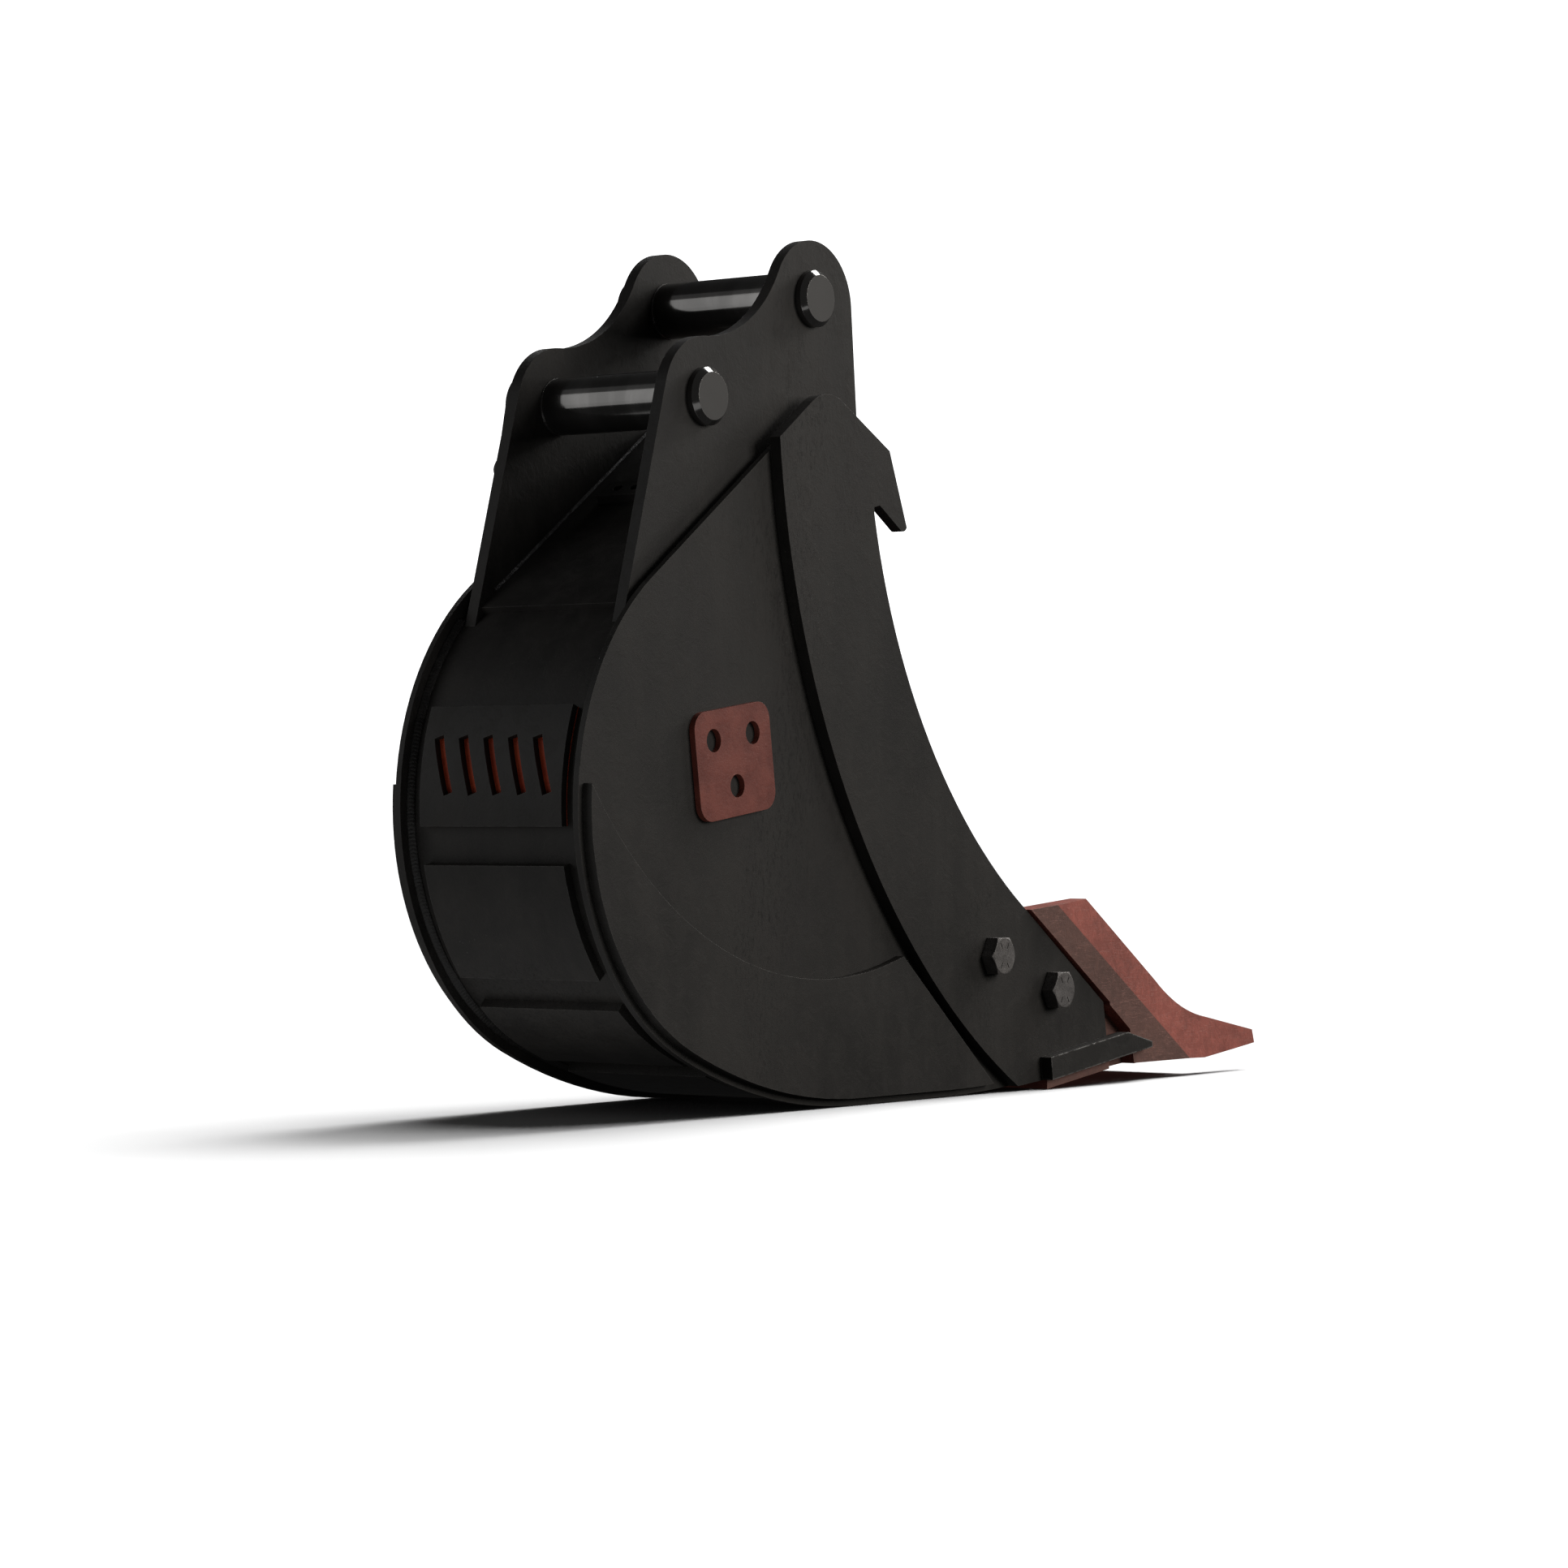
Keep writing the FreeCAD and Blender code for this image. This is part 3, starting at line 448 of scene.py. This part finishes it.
# The shell's outer line, from the foot of the brow to the toe, in millimetres:
# each step is a length or a radius, and the turn in degrees (0 is straight).
shellPlan = {
    "start": (-54.0, -113.7),
    "heading": 27.9,
    "steps": (
        (52.5, 0), (30.0, 63.3), (241.0, 0), (209.8, 120.8), (549.0, 23.8), (126.0, 0),
        (1245.0, 5.2),
    ),
    "plateInset": 12.0,
    "hingeInset": 6.0,
    "hingeEnd": 350.1,
    "length": 1236.0,
}
# distances from the middle to the faces of the ears and side plates
sidePlan = {"earInner": 67.2, "earOuter": 77.2, "plateInner": 84.0, "plateOuter": 89.0}


def aim(degrees):
    return Vector((0, math.cos(math.radians(degrees)), math.sin(math.radians(degrees))))


def shellPoint(distance, inset, x):
    # a place by its distance along the outer line, with the way out of the shell
    here = Vector((0, *shellPlan["start"]))
    heading = shellPlan["heading"]
    for size, turn in shellPlan["steps"]:
        length = size * math.radians(turn) if turn else size
        part = min(distance, length)
        if turn:
            centre = here + aim(heading - 90) * size
            bend = math.degrees(part / size)
            here = centre - aim(heading - bend - 90) * size
            heading -= bend
        else:
            here = here + aim(heading) * part
        distance -= part
        if distance <= 0:
            break
    out = aim(heading + 90)
    return (here - out * inset + Vector((x, 0, 0))) * mm, out


def arcPath(first, last, radius, x):
    # an arc on a side face between two points; gives its length and its frames
    first, last = Vector((0, *first)), Vector((0, *last))
    chord = last - first
    across = Vector((0, -chord.z, chord.y)).normalized()
    centre = (first + last) / 2 + across * math.sqrt(radius ** 2 - (chord.length / 2) ** 2)
    start, end = first - centre, last - centre
    sweep = start.angle(end)
    turn = 1 if start.y * end.z - start.z * end.y > 0 else -1

    def cornerAt(s):
        angle = turn * sweep * s
        ray = Vector((0, start.y * math.cos(angle) - start.z * math.sin(angle),
                      start.y * math.sin(angle) + start.z * math.cos(angle)))
        return (centre + ray + Vector((x, 0, 0))) * mm, ray.normalized()
    return radius * sweep, cornerAt


beadPlan = {
    "ripple": 3.1,  # from crest to crest, in millimetres
    "step": 0.55,  # from ring to ring
    "fewestSteps": 8,
    "sides": 6,  # faces over the top of the bead
    "bow": 2.2,
    "depth": 0.13,
    "crest": 0.6,
    "wander": 0.10,
    "wanderPitch": 0.035,
    "jitter": 1.2,
    "jitterPitch": 0.08,
    "round": 0.62,
    "sunk": 0.35,
    "taperRun": 0.8,  # in legs
    "tipSize": 0.25,
    "least": 0.3,
    "seedStep": 3.7,
}


def sweepBead(sheet, path, leg, seed, ends):
    # a rippled bead in a corner; path holds its length and cornerAt(s), which gives the
    # corner and the ways along its two faces
    plan = beadPlan
    length, cornerAt = path
    count = max(int(length / plan["step"]), plan["fewestSteps"])
    rings = []
    for i in range(count + 1):
        s = i / count
        along = s * length
        corner, up, side = cornerAt(s)
        corner = corner - (up + side) * plan["sunk"] * mm
        near = min(min(s, 1 - s) * length / (leg * plan["taperRun"]), 1.0)
        taper = math.sqrt(near * (2 - near)) if ends else 1.0
        wander = 1 + plan["wander"] * noiseAt(Vector((along * plan["wanderPitch"], seed, 0.0)))
        jitter = plan["jitter"] * noiseAt(Vector((along * plan["jitterPitch"], seed, 4.0)))
        ring = [sheet.verts.new(corner)]
        for j in range(plan["sides"] + 1):
            t = j / plan["sides"] * math.pi / 2
            lag = plan["bow"] * math.sin(2 * t)
            phase = (along + lag + jitter) / plan["ripple"]
            crest = abs(math.sin(math.pi * phase)) ** plan["crest"]
            bulge = (math.cos(t) + math.sin(t)) ** -plan["round"]
            groove = 1 - plan["depth"] * math.sin(2 * t) * (1 - crest)
            size = leg * wander * bulge * groove + plan["sunk"]
            size = size * (plan["tipSize"] + (1 - plan["tipSize"]) * taper)
            size = max(size, plan["least"])
            way = up * math.cos(t) + side * math.sin(t)
            ring.append(sheet.verts.new(corner + way * size * mm))
        rings.append(ring)
    if not ends:  # the last ring lies on the first
        for vert in rings.pop():
            sheet.verts.remove(vert)
    around = plan["sides"] + 2
    for first, last in zip(rings, rings[1:] + ([] if ends else rings[:1])):
        for j in range(around):
            after = (j + 1) % around
            sheet.faces.new((first[j], first[after], last[after], last[j]))
    if ends:
        sheet.faces.new(rings[0][::-1])
        sheet.faces.new(rings[-1])


def shellFrame(start, end, inset, x, away):
    # a corner that runs along the shell: up is out of the shell, side is along the pins
    def cornerAt(s):
        here, out = shellPoint(start + (end - start) * s, inset, x)
        return here, out, Vector((away, 0, 0))
    return end - start, cornerAt


def makeBeads(name, beads, replaced=(), seed=0.0, ends=True):
    # beads is a list of (path, leg); one piece holds all of them
    sheet = bmesh.new()
    for index, (path, leg) in enumerate(beads):
        sweepBead(sheet, path, leg, seed + index * beadPlan["seedStep"], ends)
    bmesh.ops.recalc_face_normals(sheet, faces=sheet.faces)
    finishPiece(name, sheet, "weld_bead", "bucket", replaced)


def finishPiece(name, sheet, slot, body, replaced):
    mesh = bpy.data.meshes.new(name)
    sheet.to_mesh(mesh)
    sheet.free()
    for face in mesh.polygons:
        face.use_smooth = True
    made = bpy.data.objects.new(name, mesh)
    made.data.materials.append(finishes[slot])
    bpy.context.scene.collection.objects.link(made)
    if replaced:
        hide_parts(*replaced)
    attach(made, body)


# lengths in millimetres; starts and gaps are measured along the shell's outer line
weldPlan = {
    "shellLeg": 5.0,
    "shellGap": 8.0,
    "earLeg": 2.0,
    "earStart": 89.7,
    "earGap": 22.0,
    "slotLeg": 5.2,
    "slotStart": 86.0,
    "slotGap": 14.0,
    "insideLeg": 4.5,
    "headerSpan": (36.0, 132.0),
    "headerInside": 20.0,
    "wrapperStart": 142.0,
    "wrapperGap": 6.0,
    "wrapperInside": 18.0,
    "mouthLeg": 2.6,
    "mouthFoot": (-273.3, -489.5),
    "mouthTop": (-52.4, -167.3),
    "mouthRadius": 508.7,
    "mouthSpan": (0.30, 0.98),
    "bossLeg": 3.0,
    "bosses": {"dipper": (3.8, -53.9), "link": (162.5, -137.8)},
    "bossRadius": 12.0,
    "bossSeed": 1.3,
}
hands = (("right", 1), ("left", -1))


def shellBeads():
    plan, side = weldPlan, sidePlan
    inset, hinge = shellPlan["plateInset"], shellPlan["hingeInset"]
    earTip, toe = shellPlan["hingeEnd"], shellPlan["length"]
    first, last = earTip + plan["shellGap"], toe - plan["shellGap"]
    slotStart, slotEnd = plan["slotStart"], earTip - plan["slotGap"]
    for word, hand in hands:
        plate, outer = side["plateInner"] * hand, side["earOuter"] * hand
        path = shellFrame(first, last, inset, plate, -hand)
        makeBeads("shellBead_" + word, [(path, plan["shellLeg"])], ["shell_weld_" + word])
        inner = side["earInner"] * hand
        path = shellFrame(plan["earStart"], earTip - plan["earGap"], hinge, inner, -hand)
        makeBeads("earInnerBead_" + word, [(path, plan["earLeg"])], ["ear_inner_weld_" + word])
        slot = shellFrame(slotStart, slotEnd, inset, plate, -hand)
        facing = shellFrame(slotStart, slotEnd, inset, outer, hand)
        both = [(slot, plan["slotLeg"]), (facing, plan["slotLeg"])]
        makeBeads("earSlotBead_" + word, both, ["ear_slot_weld_" + word])


def turnedInward(path):
    # the same corner seen from inside the shell
    length, cornerAt = path

    def inward(s):
        here, out, side = cornerAt(s)
        return here, -out, side
    return length, inward


def insideBeads():
    plan, side = weldPlan, sidePlan
    last = shellPlan["length"] - plan["wrapperGap"]
    arc = (plan["mouthFoot"], plan["mouthTop"], plan["mouthRadius"], side["plateOuter"])
    mouthLength, mouthAt = arcPath(*arc)
    low, high = plan["mouthSpan"]
    for word, hand in hands:
        wall = side["plateInner"] * hand
        header = shellFrame(*plan["headerSpan"], plan["headerInside"], wall, -hand)
        wrapper = shellFrame(plan["wrapperStart"], last, plan["wrapperInside"], wall, -hand)
        both = [(turnedInward(path), plan["insideLeg"]) for path in (header, wrapper)]
        makeBeads("insideBead_" + word, both)

        def alongMouth(s, hand=hand):
            here, ray = mouthAt(low + (high - low) * s)
            return Vector((here.x * hand, here.y, here.z)), Vector((-hand, 0, 0)), -ray
        path = (mouthLength * (high - low), alongMouth)
        makeBeads("mouthBead_" + word, [(path, plan["mouthLeg"])])


def bossBeads():
    plan = weldPlan
    for word, centre in plan["bosses"].items():
        middle = Vector((sidePlan["earOuter"], *centre))

        def roundBoss(s, middle=middle):
            ray = aim(360 * s)
            return (middle + ray * plan["bossRadius"]) * mm, Vector((1, 0, 0)), ray
        path = (math.tau * plan["bossRadius"], roundBoss)
        makeBeads(word + "BossBead", [(path, plan["bossLeg"])], (), plan["bossSeed"], ends=False)


shellBeads()
insideBeads()
bossBeads()
print("weld beads laid")


floorPlan = {
    "level": cadBox[0][2],
    "half": 30.0,
    "deep": colour(0.86, 0.86, 0.86),
    "pale": colour(0.90, 0.90, 0.90),
    "rough": 0.9,
    "ior": 1.2,
    "bump": 0.02,
    "softEdge": 0.0005,
}


def paleFloor():
    coat = floorPlan
    cloud = noise(0.8, 3.0, 0.5)
    base = mixColour(cloud, coat["deep"], coat["pale"])
    inputs = {"Base Color": base, "Roughness": coat["rough"] + cloud * 0.05, "IOR": coat["ior"]}
    return inputs, cloud, coat["bump"], coat["softEdge"]


def makeFloor():
    mesh = bpy.data.meshes.new("paleFloor")
    sheet = bmesh.new()
    half = floorPlan["half"]
    for x, y in ((-half, -half), (half, -half), (half, half), (-half, half)):
        sheet.verts.new((x, y, floorPlan["level"]))
    sheet.faces.new(sheet.verts)
    sheet.to_mesh(mesh)
    sheet.free()
    made = bpy.data.objects.new("paleFloor", mesh)
    made.data.materials.append(finishOf("paleFloorPaint", paleFloor))
    made.visible_diffuse = False  # a bright floor would wash out the black paint
    made.visible_glossy = False
    bpy.context.scene.collection.objects.link(made)
    return made


def lampGroup(name, members, state):
    # what a lamp lights ("INCLUDE") or leaves alone ("EXCLUDE")
    group = bpy.data.collections.new(name)
    for member in members:
        group.objects.link(member)
    for held in group.collection_objects:
        held.light_linking.link_state = state
    return group


lightRig = {
    "sky": 0.03,
    "seenSky": 1.5,
    "warmth": (1.0, 0.965, 0.92),
    "warmLamps": ("key", "sheen", "side"),
    "bench": {
        "key": {"place": (-0.5, -5.0, 2.4), "aim": (0, 0, -0.4), "size": 1.6, "power": 95},
        "sheen": {"place": (-2.1, -4.6, 0.9), "aim": (0, 0, -0.2), "size": 1.8, "power": 18},
        "side": {"place": (-4.6, -1.6, 1.2), "aim": (0, 0, -0.3), "size": 2.4, "power": 114},
        "low": {"place": (0.1, 0.62, -0.63), "aim": (0.1, 0.62, 1), "size": 0.8, "power": 0.7},
        "crown": {"place": (-0.2, -2.8, 3.2), "aim": (0, -0.2, -0.4), "size": 1.2, "power": 55},
        "near": {"place": (-0.8, 0.8, -0.63), "aim": (-0.8, 0.8, 1), "size": 0.8, "power": 1.3},
        "back": {"place": (2.3, 2.5, 0.5), "aim": (0, 0.1, -0.1), "size": 2.6, "power": 23},
        "far": {"place": (4.4, -2.2, 1.4), "aim": (0, 0, -0.3), "size": 2.4, "power": 95},
        "pinCard": {"place": (3.0, 2.0, 1.3), "aim": (0, 0.1, -0.05), "size": 3.2, "power": 5},
    },
    "floorSuns": {
        "front": {"from": (0.05, -1.0, 1.2), "spread": 26, "energy": 3.0},
        "above": {"from": (-0.08, -0.5, 1.0), "spread": 55, "energy": 2.1},
    },
}


def makeLights(floor):
    # the bench lamps light the bucket, the suns only the floor
    scene = bpy.context.scene
    sky = bpy.data.worlds.new("studio")
    scene.world = sky
    sky.use_nodes = True
    Field.tree = sky.node_tree
    sky.node_tree.nodes.clear()
    seen = Field.node("ShaderNodeLightPath", output="Is Camera Ray")
    level = lightRig["sky"] + seen * lightRig["seenSky"]
    glow = Field.node("ShaderNodeBackground", None, {"Color": colour(1, 1, 1), "Strength": level})
    end = sky.node_tree.nodes.new("ShaderNodeOutputWorld")
    sky.node_tree.links.new(glow.socket, end.inputs["Surface"])
    allButFloor = lampGroup("allButFloor", [floor], "EXCLUDE")
    onlyPins = lampGroup("onlyPins", [nodes["dipper_pin"], nodes["link_pin"]], "INCLUDE")
    for name, plan in lightRig["bench"].items():
        lamp = bpy.data.lights.new(name + "Lamp", "AREA")
        lamp.shape = "SQUARE"
        lamp.size = plan["size"]
        lamp.energy = plan["power"]
        if name in lightRig["warmLamps"]:
            lamp.color = lightRig["warmth"]
        made = bpy.data.objects.new(name + "Lamp", lamp)
        made.location = plan["place"]
        towards = Vector(plan["aim"]) - made.location
        made.rotation_euler = towards.to_track_quat("-Z", "Y").to_euler()
        made.visible_camera = False
        made.light_linking.receiver_collection = onlyPins if name == "pinCard" else allButFloor
        scene.collection.objects.link(made)
    onlyFloor = lampGroup("onlyFloor", [floor], "INCLUDE")
    for name, plan in lightRig["floorSuns"].items():
        lamp = bpy.data.lights.new(name + "Sun", "SUN")
        lamp.energy = plan["energy"]
        lamp.angle = math.radians(plan["spread"])
        made = bpy.data.objects.new(name + "Sun", lamp)
        made.rotation_euler = Vector(plan["from"]).to_track_quat("Z", "Y").to_euler()
        made.light_linking.receiver_collection = onlyFloor
        scene.collection.objects.link(made)


makeLights(makeFloor())


cameraPlan = {
    "place": (-2.0717, 2.7580, -0.4131),
    "towards": (0.5912, -0.8065, 0.0084),
    "lens": 98.64,
    "sensor": 36,
    "near": 0.05,
    "far": 120,
}


def makeCamera():
    lens = bpy.data.cameras.new("camera")
    lens.lens = cameraPlan["lens"]
    lens.sensor_width = cameraPlan["sensor"]
    lens.clip_start, lens.clip_end = cameraPlan["near"], cameraPlan["far"]
    made = bpy.data.objects.new("camera", lens)
    made.location = cameraPlan["place"]
    made.rotation_euler = Vector(cameraPlan["towards"]).to_track_quat("-Z", "Y").to_euler()
    bpy.context.scene.collection.objects.link(made)
    bpy.context.scene.camera = made


makeCamera()
bpy.context.scene.view_settings.view_transform = "Standard"
print("floor, lights and camera set")
